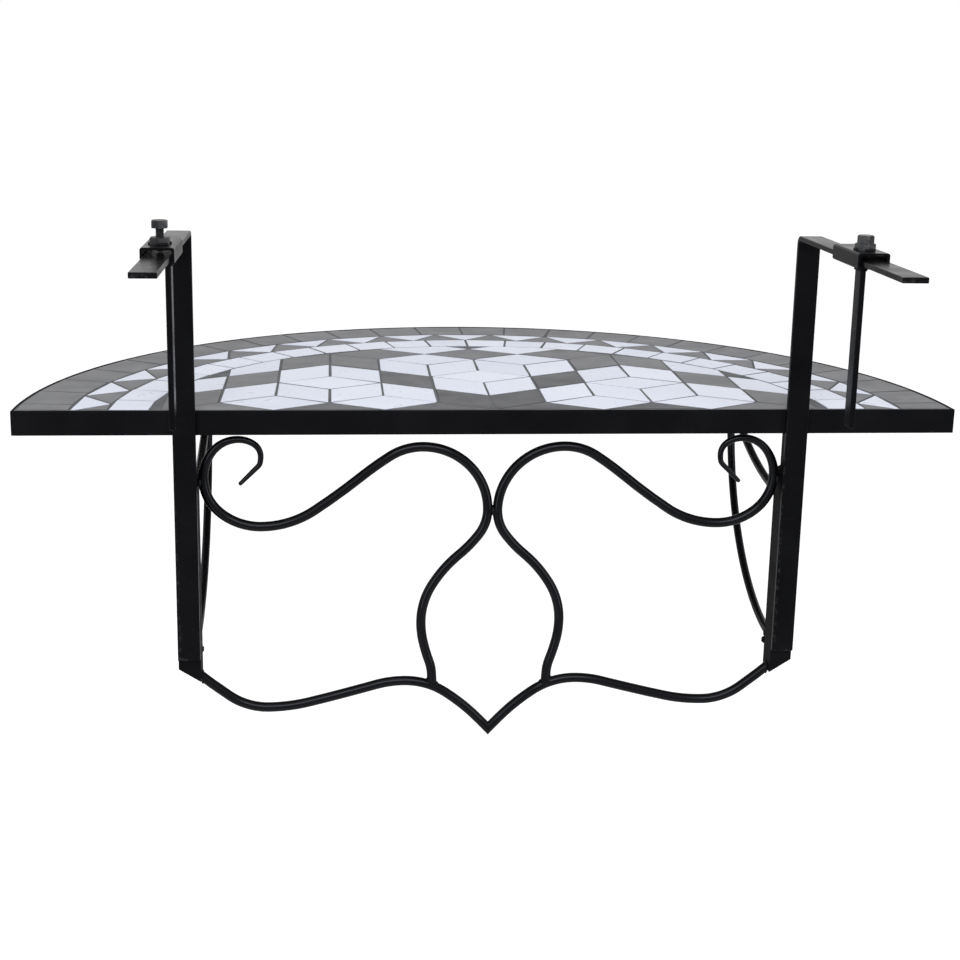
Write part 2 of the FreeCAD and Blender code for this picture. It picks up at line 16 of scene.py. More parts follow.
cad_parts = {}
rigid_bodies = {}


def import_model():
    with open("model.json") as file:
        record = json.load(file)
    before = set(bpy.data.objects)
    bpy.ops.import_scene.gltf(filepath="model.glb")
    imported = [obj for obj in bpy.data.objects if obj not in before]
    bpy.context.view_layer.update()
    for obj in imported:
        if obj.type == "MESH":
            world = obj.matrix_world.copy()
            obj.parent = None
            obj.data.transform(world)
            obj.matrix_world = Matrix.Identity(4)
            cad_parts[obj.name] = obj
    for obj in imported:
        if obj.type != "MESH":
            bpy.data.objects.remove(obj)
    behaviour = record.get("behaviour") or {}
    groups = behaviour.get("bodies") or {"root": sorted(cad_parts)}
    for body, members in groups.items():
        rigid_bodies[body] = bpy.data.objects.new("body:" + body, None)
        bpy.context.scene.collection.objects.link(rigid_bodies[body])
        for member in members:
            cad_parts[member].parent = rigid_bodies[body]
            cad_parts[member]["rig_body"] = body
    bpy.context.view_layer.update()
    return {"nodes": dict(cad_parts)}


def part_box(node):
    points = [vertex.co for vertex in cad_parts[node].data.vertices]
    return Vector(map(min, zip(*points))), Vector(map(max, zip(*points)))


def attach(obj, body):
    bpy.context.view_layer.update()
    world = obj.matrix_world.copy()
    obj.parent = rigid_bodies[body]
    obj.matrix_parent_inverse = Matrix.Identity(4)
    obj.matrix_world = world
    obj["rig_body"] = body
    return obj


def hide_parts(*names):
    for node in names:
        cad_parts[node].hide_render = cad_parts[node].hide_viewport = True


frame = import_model()
nodes = frame["nodes"]
mm = 0.001
sides = {"left": -1, "right": 1}
print("pieces in the model:", len(nodes))

# %% [markdown]
# ## Places that the model gives
# What Blender adds has to sit on the model, so the main places are read from it, to a
# hundredth of a millimetre: the tabletop's level, the inner face of the upright's web, the
# plane of the bent rods, and the middles of hook, bolt and post. The left side mirrors these.

# %% Read the places


def box_of(node):
    return [[round(value / mm, 2) for value in corner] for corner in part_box(node)]


def middle_of(node):
    return [(low + high) / 2 for low, high in zip(*box_of(node))]


table_z = box_of("tabletop_rim")[1][2]
web_inner = box_of("upright_right")[0][0]
rod_y = middle_of("valance_rod")[1]
hook_x = middle_of("hook_right")[0]
bolt_x, bolt_y, _ = middle_of("clamp_bolt_right")
post_x, post_y, _ = middle_of("brace_post_right")
print("tabletop", table_z, "web", web_inner, "rods", rod_y, "post", post_x, post_y)

# %% [markdown]
# ## The camera
# The photograph was taken from the railing's side, a little above the tabletop and slightly
# to the left. A camera can be aimed by an empty, but here its own three axes are written out,
# because the turn, the tilt and the small roll were measured separately. The film is shifted,
# and not tilted further, to bring the table to the middle of the picture.

# %% Place the camera
turn, tilt, roll = math.radians(-5.51), math.radians(12.8), math.radians(1.16)
eye = Vector((-0.1275, -1.1813, 0.1406))
shift_pixels, picture_pixels = -80, 960
level_right = Vector((math.cos(turn), math.sin(turn), 0))
level_ahead = Vector((-math.sin(turn), math.cos(turn), 0))
ahead = level_ahead * math.cos(tilt) - Vector((0, 0, math.sin(tilt)))
up = Vector((0, 0, math.cos(tilt))) + level_ahead * math.sin(tilt)
right = level_right * math.cos(roll) + up * math.sin(roll)
top = up * math.cos(roll) - level_right * math.sin(roll)

camera_data = bpy.data.cameras.new("railing_side_view")
camera_data.lens = 57.4
camera_data.sensor_width = 36.0
camera_data.shift_y = shift_pixels / picture_pixels
camera_data.clip_start = 0.01
camera = bpy.data.objects.new("railing_side_view", camera_data)
camera.matrix_world = Matrix((
    (right.x, top.x, -ahead.x, eye.x),
    (right.y, top.y, -ahead.y, eye.y),
    (right.z, top.z, -ahead.z, eye.z),
    (0, 0, 0, 1)))
bpy.context.scene.collection.objects.link(camera)
bpy.context.scene.camera = camera
print("camera is", round(eye.length, 3), "m from the hooks' middle")

# %% [markdown]
# ## The white world
# Product pictures like this one stand on white. The world gives an even, dim fill, and shows
# plain white to the camera and to reflections. Light Path tells these rays apart, so the
# white background doesn't flood the table with light. Node trees are built often below, so a
# helper adds a node and feeds its inputs, each with a value or from another node's socket.

# %% Make the white world
scene = bpy.context.scene
scene.view_settings.view_transform = "Standard"


def add_node(tree, kind, feeds=(), **settings):
    node = tree.nodes.new(kind)
    for name, value in settings.items():
        setattr(node, name, value)
    for name, value in dict(feeds).items():
        if isinstance(value, bpy.types.NodeSocket):
            tree.links.new(value, node.inputs[name])
        else:
            node.inputs[name].default_value = value
    return node


def white_world(fill):
    world = bpy.data.worlds.new("studio_fill")
    world.use_nodes = True
    tree = world.node_tree
    tree.nodes.clear()
    path = add_node(tree, "ShaderNodeLightPath")
    seen = path.outputs["Is Camera Ray"]
    for ray in ("Is Glossy Ray", "Is Transmission Ray"):
        feeds = {0: seen, 1: path.outputs[ray]}
        seen = add_node(tree, "ShaderNodeMath", feeds, operation="MAXIMUM").outputs[0]
    level = add_node(tree, "ShaderNodeMapRange", {"Value": seen, "To Min": fill, "To Max": 1.0})
    feeds = {"Color": (1, 1, 1, 1), "Strength": level.outputs["Result"]}
    white = add_node(tree, "ShaderNodeBackground", feeds)
    add_node(tree, "ShaderNodeOutputWorld", {"Surface": white.outputs[0]})
    return world


scene.world = white_world(fill=0.33)
print("world:", scene.world.name)

# %% [markdown]
# ## Lamps
# A wide sun lights the floor evenly however far it runs. A shiny round bar shows a lamp as a
# thin line, and only where the lamp lies square to the bar, so three softboxes stand in front:
# a wide one above for the level stretches of the rods and two upright ones for the steep
# stretches. A softbox is described by its brightness, so a larger one needs more watts.

# %% Hang the lamps
heart = Vector((0, 0.1, -0.2))


def aimed(name, data, place):
    light = bpy.data.objects.new(name, data)
    light.location = place
    light.rotation_euler = (heart - Vector(place)).to_track_quat("-Z", "Y").to_euler()
    scene.collection.objects.link(light)


def softbox(name, place, width, height, brightness):
    data = bpy.data.lights.new(name, "AREA")
    data.shape = "RECTANGLE"
    data.size, data.size_y = width, height
    data.energy = brightness * math.pi * width * height
    aimed(name, data, place)


sun = bpy.data.lights.new("overhead_sun", "SUN")
sun.energy, sun.angle = 0.75, math.radians(50)
aimed("overhead_sun", sun, (-0.5, 0.4, 2.0))
softbox("wide_softbox", (-0.1, -1.6, 1.0), width=1.8, height=0.9, brightness=6.5)
softbox("left_softbox", (-1.1, -1.25, -0.1), width=0.4, height=1.2, brightness=6)
softbox("right_softbox", (1.4, -1.0, -0.1), width=0.4, height=1.2, brightness=6)

# %% [markdown]
# ## Tools for finishes
# Every finish below is grown from noise in Object coordinates, which are metres on this
# model: a scale of 900 means grains of about a millimetre. A few short helpers keep the node
# trees readable: one adds a noise, one stretches its range, one mixes two colours by it and
# one turns it into relief. One more reads a number that a piece carries on its points.

# %% Define the finish helpers


class Finish:
    def __init__(self, name, rough, shine):
        self.material = bpy.data.materials.new(name)
        self.material.use_nodes = True
        self.tree = self.material.node_tree
        self.shader = self.tree.nodes["Principled BSDF"]
        self.shader.inputs["Roughness"].default_value = rough
        self.shader.inputs["Specular IOR Level"].default_value = shine
        self.place = self.node("TexCoord").outputs["Object"]
        self.relief = None

    def node(self, kind, feeds=(), **settings):
        return add_node(self.tree, "ShaderNode" + kind, feeds, **settings)

    def stretched(self, size):
        return self.node("Mapping", {"Vector": self.place, "Scale": size}).outputs["Vector"]

    def noise(self, scale, detail, place=None, rough=0.55):
        return self.node("TexNoise", {
            "Vector": place or self.place, "Scale": scale,
            "Detail": detail, "Roughness": rough}).outputs["Fac"]

    def carried(self, attribute):
        return self.node("Attribute", attribute_name=attribute).outputs["Fac"]

    def span(self, value, low, high, to_low=0.0, to_high=1.0):
        return self.node("MapRange", {
            "Value": value, "From Min": low, "From Max": high,
            "To Min": to_low, "To Max": to_high}).outputs["Result"]

    def calculated(self, operation, a, b):
        return self.node("Math", {0: a, 1: b}, operation=operation).outputs[0]

    def mix(self, share, a, b):
        a, b = (colour + (1.0,) if isinstance(colour, tuple) else colour for colour in (a, b))
        return self.node("Mix", {0: share, 6: a, 7: b}, data_type="RGBA").outputs[2]

    def bump(self, height, strength, depth):
        feeds = {"Height": height, "Strength": strength, "Distance": depth}
        if self.relief is not None:
            feeds["Normal"] = self.relief
        self.relief = self.node("Bump", feeds).outputs["Normal"]
        self.show("Normal", self.relief)

    def show(self, name, socket):
        self.tree.links.new(socket, self.shader.inputs[name])

    def colour(self, socket):
        self.show("Base Color", socket)

    def roughness(self, socket):
        self.show("Roughness", socket)


print("finish helpers are ready")

# %% [markdown]
# ## Black powder coat
# Powder is sprayed dry and melts into a skin with a faint orange peel. It is never one even
# black: it is a little greyer where it lies thin or where a hand has rubbed it, and it wears
# through first along sharp edges. Pointiness tells the shader where a mesh is convex, and a
# noise breaks that line up so that it looks like wear and not like an outline. The uprights
# and the rim are nearly matt, the hooks smoother, and the thin rods, where the powder flows
# out best, are the shiniest. Welds are lumpy under it, and the bolts are bare blackened steel.

# %% Make the black finishes


def black_coat(name, deep, thin, worn, rough, shine, peel_depth, wear_from=0.6):
    coat = Finish(name, rough[0], shine)
    # The cool specular tint is a painted tint of the reflections: it stands in for cool light in
    # the highlights.
    coat.shader.inputs["Specular Tint"].default_value = (0.84, 0.88, 1.0, 1.0)
    cloud = coat.span(coat.noise(22, 4), 0.35, 0.7)
    skin = coat.mix(cloud, deep, thin)
    dust = coat.span(coat.noise(240, 3), 0.62, 0.8, 0.0, 0.25)
    skin = coat.mix(dust, skin, tuple(3 * c for c in thin))
    edge = coat.node("NewGeometry").outputs["Pointiness"]
    patchy = coat.span(coat.noise(130, 5, rough=0.7), 0.5, 0.68)
    wear = coat.calculated("MULTIPLY", coat.span(edge, wear_from, wear_from + 0.07), patchy)
    coat.colour(coat.mix(wear, skin, worn))
    coat.roughness(coat.span(coat.noise(60, 4), 0.3, 0.7, *rough))
    coat.bump(coat.noise(18, 2), 0.25, 0.0004)
    coat.bump(coat.noise(700, 2), 0.3, peel_depth)
    return coat.material


steel = black_coat(
    "black_powder_coat", deep=(0.0024, 0.0024, 0.003), thin=(0.0042, 0.0042, 0.005),
    worn=(0.02, 0.02, 0.022), rough=(0.5, 0.6), shine=0.03, peel_depth=0.00006)
hook_black = black_coat(
    "black_powder_coat_on_hooks", deep=(0.0018, 0.0018, 0.0022), thin=(0.0036, 0.0036, 0.0042),
    worn=(0.03, 0.03, 0.032), rough=(0.2, 0.3), shine=0.06, peel_depth=0.00005)
rod_black = black_coat(
    "black_powder_coat_on_rods", deep=(0.0012, 0.0012, 0.0016), thin=(0.003, 0.003, 0.0036),
    worn=(0.02, 0.02, 0.024), rough=(0.14, 0.22), shine=0.13, peel_depth=0.00005)
bead_coat = black_coat(
    "powder_coat_on_welds", deep=(0.003, 0.003, 0.0036), thin=(0.0055, 0.0055, 0.0062),
    worn=(0.015, 0.015, 0.016), rough=(0.28, 0.45), shine=0.08, peel_depth=0.0002, wear_from=0.64)
bolt_black = black_coat(
    "blackened_bolt_steel", deep=(0.006, 0.006, 0.0065), thin=(0.012, 0.0115, 0.011),
    worn=(0.16, 0.155, 0.15), rough=(0.3, 0.45), shine=0.3, peel_depth=0.00008, wear_from=0.57)
black_finishes = (steel, hook_black, rod_black, bead_coat, bolt_black)
print("black finishes:", [finish.name for finish in black_finishes])

# %% [markdown]
# ## Tile glaze and stone
# The pale tiles have a cool white satin glaze with faint clouds under it. The dark ones are a
# dark grey body with a fine streak. Each tile carries its own number, tile_tint, which moves
# its colour between the two ends of its kind. Another, grout_smear, is one on a tile's cut
# sides, where the glaze ends and the grout has stained the body.

# %% Make the tile finishes
stained_side = (0.085, 0.087, 0.093)


def tile_finish(name, low, high, cloud_scale, streak, rough, shine, pits):
    tile = Finish(name, rough[0], shine)
    tint = tile.carried("tile_tint")
    cloud = tile.noise(cloud_scale, 5, tile.stretched(streak))
    fine = tile.noise(cloud_scale * 9, 3, tile.stretched(streak))
    cloudy = tile.span(cloud, 0.3, 0.7, 0.0, 0.24)
    body = tile.calculated("ADD", cloudy, tile.span(fine, 0.3, 0.7, 0.0, 0.12))
    body = tile.calculated("ADD", body, tile.span(tint, 0.0, 1.0, 0.0, 0.7))
    tile.colour(tile.mix(tile.carried("grout_smear"), tile.mix(body, low, high), stained_side))
    tile.roughness(tile.span(tile.noise(45, 3), 0.3, 0.7, *rough))
    tile.bump(tile.noise(55, 2), 0.12, 0.0005)
    tile.bump(tile.noise(1400, 2), pits, 0.00008)
    return tile.material


white_glaze = tile_finish(
    "white_tile_glaze", low=(0.63, 0.665, 0.785), high=(0.735, 0.765, 0.875),
    cloud_scale=28, streak=(1, 1.6, 1), rough=(0.26, 0.36), shine=0.25, pits=0.04)
dark_stone = tile_finish(
    "dark_tile_body", low=(0.048, 0.049, 0.055), high=(0.186, 0.188, 0.197),
    cloud_scale=24, streak=(0.6, 2.2, 1), rough=(0.42, 0.56), shine=0.15, pits=0.25)
print("tile finishes:", white_glaze.name, dark_stone.name)

# %% [markdown]
# ## Grout and board
# The grout is cement with sand in it, so it is rough at two scales: a trowelled unevenness
# and single grains. The board under it is fibre cement, with short pale fibres in a grey
# ground, which the stretched noise draws all one way, as the board's making lays them.

# %% Make the grout and the board
grout = Finish("cement_grout", 0.85, 0.25)
sand = grout.noise(1500, 4)
damp = grout.span(grout.noise(70, 4), 0.3, 0.7)
grout.colour(grout.mix(damp, (0.09, 0.093, 0.1), (0.145, 0.148, 0.157)))
grout.roughness(grout.span(sand, 0.3, 0.7, 0.78, 0.95))
grout.bump(grout.noise(160, 3), 0.6, 0.0004)
grout.bump(sand, 0.7, 0.00025)

board = Finish("fibre_cement_board", 0.9, 0.2)
fibres = board.noise(420, 3, board.stretched((0.12, 1, 1)))
cloud = board.span(board.noise(25, 5), 0.3, 0.7)
ground = board.mix(cloud, (0.2, 0.195, 0.18), (0.32, 0.31, 0.29))
board.colour(board.mix(board.span(fibres, 0.6, 0.72, 0.0, 0.6), ground, (0.48, 0.46, 0.42)))
board.roughness(board.span(fibres, 0.3, 0.7, 0.82, 0.95))
board.bump(fibres, 0.5, 0.0003)
print("under the tiles:", grout.material.name, board.material.name)

# %% [markdown]
# ## Tools for flat steel
# Flat bar and angle come from rollers and shears, so no edge is truly sharp, and that soft
# edge is what catches the light. The model's own meshes are exact and sharp. A copy is merged,
# its flat triangles are joined into clean faces, its edges are bevelled, and weighted normals
# keep the wide faces flat. Each new piece then takes its node's place on the node's body.

# %% Define how a piece is eased


def merged(node):
    work = bmesh.new()
    work.from_mesh(nodes[node].data)
    bmesh.ops.remove_doubles(work, verts=work.verts, dist=2e-6)
    flat_enough = math.radians(0.4)
    bmesh.ops.dissolve_limit(work, angle_limit=flat_enough, verts=work.verts, edges=work.edges)
    return work


def crisp_edges(work, spare=()):
    found = []
    for edge in work.edges:
        middle = (edge.verts[0].co + edge.verts[1].co) / 2
        if len(edge.link_faces) == 2 and edge.calc_face_angle(0) > math.radians(30):
            if all((middle - Vector(place)).length > reach for place, reach in spare):
                found.append(edge)
    return found


def bevel(work, edges, width, steps):
    bmesh.ops.bevel(work, geom=edges, offset=width, offset_type="OFFSET", segments=steps,
                    profile=0.5, affect="EDGES", clamp_overlap=True)


def plain(name, mesh, finish, angle):
    for polygon in mesh.polygons:
        polygon.use_smooth = True
    mesh.set_sharp_from_angle(angle=math.radians(angle))
    mesh.materials.clear()
    mesh.materials.append(finish)
    piece = bpy.data.objects.new(name, mesh)
    scene.collection.objects.link(piece)
    return piece


def settled(name, work, finish, angle=50):
    mesh = bpy.data.meshes.new(name)
    bmesh.ops.recalc_face_normals(work, faces=work.faces)
    work.to_mesh(mesh)
    work.free()
    piece = plain(name, mesh, finish, angle)
    weigh = piece.modifiers.new("flat_faces_stay_flat", "WEIGHTED_NORMAL")
    weigh.keep_sharp = True
    weigh.weight = 60
    seen = piece.evaluated_get(bpy.context.evaluated_depsgraph_get())
    final = bpy.data.meshes.new_from_object(seen)
    piece.modifiers.clear()
    piece.data = final
    return piece


def takes_place(piece, node):
    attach(piece, nodes[node]["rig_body"])
    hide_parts(node)


def eased(node, width, finish, steps=2, spare=(), reshape=None):
    work = merged(node)
    if reshape:
        reshape(work)
    bevel(work, crisp_edges(work, spare), width * mm, steps)
    piece = settled(node + "_eased", work, finish)
    takes_place(piece, node)
    return piece


print("flat steel can now be eased")

# %% [markdown]
# ## The uprights' feet
# Each upright is an angle whose foot is cut to a mitre. On the real table its front flange
# reaches down in front of the lower rod's end, and the rod butts against the web behind it. The
# model's foot stops on top of the rod, so the points of its mitre are found by their level
# and moved down, the outer corner the most.

# %% Lengthen the feet
rod_radius = 4.0
rod_end_x, rod_end_z, rod_slope = 254.5, -214.8, math.radians(39)
foot_longer, less_inward = 7.9, 0.17


def mitre_level(x):
    axis = table_z + rod_end_z - (rod_end_x - abs(x)) * math.tan(rod_slope)
    return axis + rod_radius / math.cos(rod_slope)


def longer_foot(work):
    for v in work.verts:
        x, z = v.co.x / mm, v.co.z / mm
        if abs(z - mitre_level(x)) < 0.4:
            v.co.z -= (foot_longer - (rod_end_x - abs(x)) * less_inward) * mm


print("mitre from", round(mitre_level(web_inner), 1), "to", round(mitre_level(rod_end_x), 1), "mm")

# %% [markdown]
# ## Bars, angles and plates
# The flat pieces differ only in the width of their eased edge: shorn plates are sharper than
# the rolled rim. The rivet holes are left alone, because the rivets fill them.

# %% Ease the flat pieces
rivet_levels = (-339.1, -227.1)
hole_faces = (0, 7)
rivet_spare = [(Vector((s * hook_x, y, z)) * mm, 6.5 * mm)
               for s in sides.values() for y in hole_faces for z in rivet_levels]
flat = []
for side in sides:
    flat.append(eased("hook_" + side, 0.6, hook_black, 3, rivet_spare))
    flat.append(eased("clamp_leg_" + side, 0.6, hook_black))
    flat.append(eased("upright_" + side, 0.5, steel, 2, rivet_spare, longer_foot))
    for node in ("hinge_plate_", "brace_ears_"):
        flat.append(eased(node + side, 0.4, steel))
for node, width in (("tabletop_rim", 0.7), ("cross_bar_front", 0.5), ("cross_bar_rear", 0.5)):
    flat.append(eased(node, width, steel, 3))
flat.append(eased("backer_board", 0.4, board.material, 1))
print("eased pieces:", len(flat))

# %% [markdown]
# ## The clamps' sleeves
# Each clamp's sleeve is sheet steel folded into a box, so its four long outer corners are
# rounder than its cut ends. The long edges get a wide bevel first, then the ends a small one.
# The bolt's hole in its top stays sharp, under the nut.

# %% Fold the sleeves
hair = 0.01 * mm
fold_radius, end_radius = 1.7 * mm, 0.3 * mm
hole_from_front, hole_reach = 20 * mm, 6 * mm


def long_corner(edge, low, high):
    a, b = edge.verts[0].co, edge.verts[1].co
    on_side = min(abs(a.x - low.x), abs(a.x - high.x)) < hair
    on_level = min(abs(a.z - low.z), abs(a.z - high.z)) < hair
    return on_side and on_level and abs(a.x - b.x) < hair and abs(a.z - b.z) < hair


for side in sides:
    work = merged("clamp_sleeve_" + side)
    low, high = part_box("clamp_sleeve_" + side)
    folds = [edge for edge in work.edges if long_corner(edge, low, high)]
    bevel(work, folds, fold_radius, 5)
    hole = Vector(((low.x + high.x) / 2, low.y + hole_from_front, high.z))
    bevel(work, crisp_edges(work, [(hole, hole_reach)]), end_radius, 2)
    sleeve = settled("clamp_sleeve_" + side + "_folded", work, hook_black)
    takes_place(sleeve, "clamp_sleeve_" + side)
    print(sleeve.name, "folded edges", len(folds))

# %% [markdown]
# ## Centre lines of the bent rods
# The curls and the wavy lower rod were bent round formers, so each is a chain of arcs that
# meet without a kink. A chain is written as a few nodes, each a place and the way the rod runs
# there, and every pair of nodes is joined by two arcs. Bezier handles could follow the same
# shape, but arcs keep the constant curvature that a former leaves in a real rod.

# %% Join nodes by arcs
arc_step = 2.5


def heading(degrees):
    return Vector((math.cos(math.radians(degrees)), math.sin(math.radians(degrees))))


def arc_points(start, way, end):
    chord = end - start
    bend = math.atan2(way.x * chord.y - way.y * chord.x, way.dot(chord))
    if abs(bend) < 1e-4:
        return [start, end]
    radius = chord.length / (2 * math.sin(bend))
    centre = start + Vector((-way.y, way.x)) * radius
    count = max(2, math.ceil(abs(math.degrees(2 * bend)) / arc_step))
    arm = start - centre
    return [centre + Matrix.Rotation(2 * bend * k / count, 2) @ arm for k in range(count + 1)]


def two_arcs(start, way0, end, way1):
    chord, both = end - start, way0 + way1
    spread, along = 2 * (1 - way0.dot(way1)), chord.dot(both)
    if spread < 1e-9:
        reach = chord.dot(chord) / (4 * chord.dot(way1))
    else:
        reach = (math.sqrt(along * along + spread * chord.dot(chord)) - along) / spread
    middle = (start + end + (way0 - way1) * reach) / 2
    return [arc_points(start, way0, middle), arc_points(end, -way1, middle)[::-1]]


def bent_line(chain):
    runs = []
    for a, b in zip(chain, chain[1:]):
        runs += two_arcs(Vector(a[:2]), heading(a[2]), Vector(b[:2]), heading(b[2]))
    return runs


def joined(runs):
    line = list(runs[0])
    for run in runs[1:]:
        line += run[1:]
    return line


print("an arc has a point every", arc_step, "degrees")

# %% [markdown]
# ## The two chains
# The lower rod's chain starts within the upright, where it is cut off later, dips, climbs to a
# crest, falls past the scroll's foot and runs straight through the point in the middle. The
# scroll's chain starts at the curl's tip. Heights are measured down from the tabletop.

# %% Write the chains
point_z, point_slope = -278.4, math.radians(47)


def on_point_run(far):
    return (far * math.cos(point_slope), point_z + far * math.sin(point_slope), 227)


lower_chain = [(web_inner + 6, -222.0, 221), (web_inner - 54.5, -255.5, 180),
               (118.0, -243.5, 165), (71.6, -234.1, 180), on_point_run(12), on_point_run(-16)]
lower_line = joined(bent_line(lower_chain))


def height_on(line, x):
    for a, b in zip(line, line[1:]):
        if min(a.x, b.x) <= x <= max(a.x, b.x) and a.x != b.x:
            return a.y + (b.y - a.y) * (x - a.x) / (b.x - a.x)


curl_x, curl_z = web_inner - 4.1, -58.0
waist_z = -86.0
foot_x = 47.7
foot_z = height_on(lower_line, foot_x)
scroll_chain = [(curl_x - 29.4, -62.3, 135), (curl_x - 43.4, -48.3, 135),
                (curl_x - 45.8, -39.8, 90), (curl_x - 28.1, -25.8, 0), (curl_x, curl_z, -90),
                (curl_x - 45.4, -98.6, -180), (107.6, -57.4, -219.3), (57.9, -32.4, -180),
                (4.05, waist_z, -90), (26.8, -123.9, -40.7), (57.7, -182.0, -90),
                (50.6, -217.0, -110), (foot_x, foot_z, -93)]
scroll_runs = bent_line(scroll_chain)
print("scroll runs", len(scroll_runs), "foot at", round(foot_z, 2), "under the tabletop")

# %% [markdown]
# ## Round bars by Geometry Nodes
# A round bar follows a path, which is what Geometry Nodes do well: a circle is carried along
# the centre line, each point says how thick the bar is there, and a little noise dents the
# surface as bending and handling do. The tree ends in Realize Instances and Set Material, and
# what it makes is turned into a plain mesh.

# %% Define what both trees share


def tree_with(name, sockets):
    tree = bpy.data.node_groups.new(name, "GeometryNodeTree")
    tree.interface.new_socket("Path", in_out="INPUT", socket_type="NodeSocketGeometry")
    for label, kind, default in sockets:
        socket = tree.interface.new_socket(label, in_out="INPUT", socket_type="NodeSocket" + kind)
        socket.default_value = default
    tree.interface.new_socket("Finish", in_out="INPUT", socket_type="NodeSocketMaterial")
    tree.interface.new_socket("Made", in_out="OUTPUT", socket_type="NodeSocketGeometry")
    return tree, tree.nodes.new("NodeGroupInput").outputs


def named_thickness(tree):
    feeds = {"Name": "thickness"}
    thickness = add_node(tree, "GeometryNodeInputNamedAttribute", feeds, data_type="FLOAT")
    return thickness.outputs["Attribute"]


def times(tree, a, b):
    return add_node(tree, "ShaderNodeMath", {0: a, 1: b}, operation="MULTIPLY").outputs[0]


def dent(tree, given, geometry):
    feeds = {"Scale": given["Dent size"], "W": given["Seed"], "Detail": 2.0}
    grain = add_node(tree, "ShaderNodeTexNoise", feeds, noise_dimensions="4D")
    feeds = {0: grain.outputs["Fac"], 1: 0.5}
    centred = add_node(tree, "ShaderNodeMath", feeds, operation="SUBTRACT").outputs[0]
    outwards = add_node(tree, "GeometryNodeInputNormal").outputs[0]
    feeds = {0: outwards, "Scale": times(tree, centred, given["Dent depth"])}
    push = add_node(tree, "ShaderNodeVectorMath", feeds, operation="SCALE").outputs[0]
    feeds = {"Geometry": geometry, "Offset": push}
    return add_node(tree, "GeometryNodeSetPosition", feeds).outputs[0]


def close_tree(tree, given, geometry):
    realized = add_node(tree, "GeometryNodeRealizeInstances", {0: geometry}).outputs[0]
    feeds = {"Geometry": realized, "Material": given["Finish"]}
    painted = add_node(tree, "GeometryNodeSetMaterial", feeds).outputs[0]
    add_node(tree, "NodeGroupOutput", {0: painted})


print("a tree can be opened, dented and closed")

# %% [markdown]
# ## The round bar's tree
# Its inputs are the number of the circle's sides, the dents' scale and depth in metres, and a
# seed that moves the dents, so that no two bars are dented alike. The circle has a radius of
# one metre, and the thickness at each point scales it down to the bar's own radius.

# %% Build the round bar tree
bar_tree, given = tree_with("round_bar", [
    ("Sides", "Int", 28), ("Dent size", "Float", 90.0), ("Dent depth", "Float", 0.0001),
    ("Seed", "Float", 1.0)])
curve = add_node(bar_tree, "GeometryNodeMeshToCurve", {0: given["Path"]})
feeds = {"Resolution": given["Sides"], "Radius": 1.0}
ring = add_node(bar_tree, "GeometryNodeCurvePrimitiveCircle", feeds, mode="RADIUS")
bar = add_node(bar_tree, "GeometryNodeCurveToMesh", {
    "Curve": curve.outputs[0], "Profile Curve": ring.outputs["Curve"],
    "Scale": named_thickness(bar_tree), "Fill Caps": True})
close_tree(bar_tree, given, dent(bar_tree, given, bar.outputs[0]))
print("round bar tree has", len(bar_tree.nodes), "nodes")

# %% [markdown]
# ## Paths in, plain meshes out
# A path is a line of points with a thickness at each. The next helper lays such paths into one
# mesh of loose edges, runs a tree over it and keeps the result as an ordinary mesh. A tree's
# input is set by its socket's identifier, because its name is only a label.

# %% Define how a tree is run


def path_mesh(name, paths):
    points, edges, sizes = [], [], []
    for line, thickness in paths:
        first = len(points)
        points += [Vector(p) * mm for p in line]
        sizes += [t * mm for t in thickness]
        edges += [(first + k, first + k + 1) for k in range(len(line) - 1)]
    mesh = bpy.data.meshes.new(name + "_path")
    mesh.from_pydata(points, edges, [])
    mesh.attributes.new("thickness", "FLOAT", "POINT").data.foreach_set("value", sizes)
    return mesh


def run_tree(name, tree, paths, finish, seed):
    maker = bpy.data.objects.new(name + "_maker", path_mesh(name, paths))
    work = maker.modifiers.new(tree.name, "NODES")
    work.node_group = tree
    chosen = {"Seed": seed, "Finish": finish}
    for socket in tree.interface.items_tree:
        if socket.name in chosen:
            work[socket.identifier] = chosen[socket.name]
    scene.collection.objects.link(maker)
    seen = maker.evaluated_get(bpy.context.evaluated_depsgraph_get())
    mesh = bpy.data.meshes.new_from_object(seen)
    mesh.name = name
    bpy.data.objects.remove(maker)
    return mesh


print("paths can now be grown into bars")

# %% [markdown]
# ## The curled front rods
# Each front rod starts in a drawn-out tip, curls against its upright, rises to a crown, comes
# down past its twin and turns out again to the lower rod. The smith drew the whole curl out
# under the hammer, so it thins evenly from 8 mm at the upright to 3.4 mm at the rounded tip.
# Three short rings before the tip, each a little thinner, round it off.

# %% Grow the curled rods
tip_radius = 1.7
curl_runs = 8
nose_reach, nose_radius = (1.5, 1.3, 0.8), [0.35, 0.9, 1.45]
smooth_under = 50


def front_point(p, side):
    return (side * p.x, rod_y, table_z + p.y)


def scroll_path(side):
    curl, rest = joined(scroll_runs[:curl_runs]), joined(scroll_runs[curl_runs:])
    walked = [0.0]
    for a, b in zip(curl, curl[1:]):
        walked.append(walked[-1] + (b - a).length)
    growth = rod_radius - tip_radius
    sizes = [tip_radius + growth * far / walked[-1] for far in walked]
    sizes += [rod_radius] * (len(rest) - 1)
    ahead_of_tip = (curl[0] - curl[1]).normalized()
    nose = [curl[0] + ahead_of_tip * far for far in nose_reach]
    return [front_point(p, side) for p in nose + curl + rest[1:]], nose_radius + sizes


for side, sign in sides.items():
    mesh = run_tree("scroll_rod_" + side, bar_tree, [scroll_path(sign)], rod_black, seed=3.0 + sign)
    scroll = plain("scroll_rod_" + side, mesh, rod_black, angle=smooth_under)
    takes_place(scroll, "scroll_" + side)
    print(scroll.name, "faces", len(mesh.polygons))

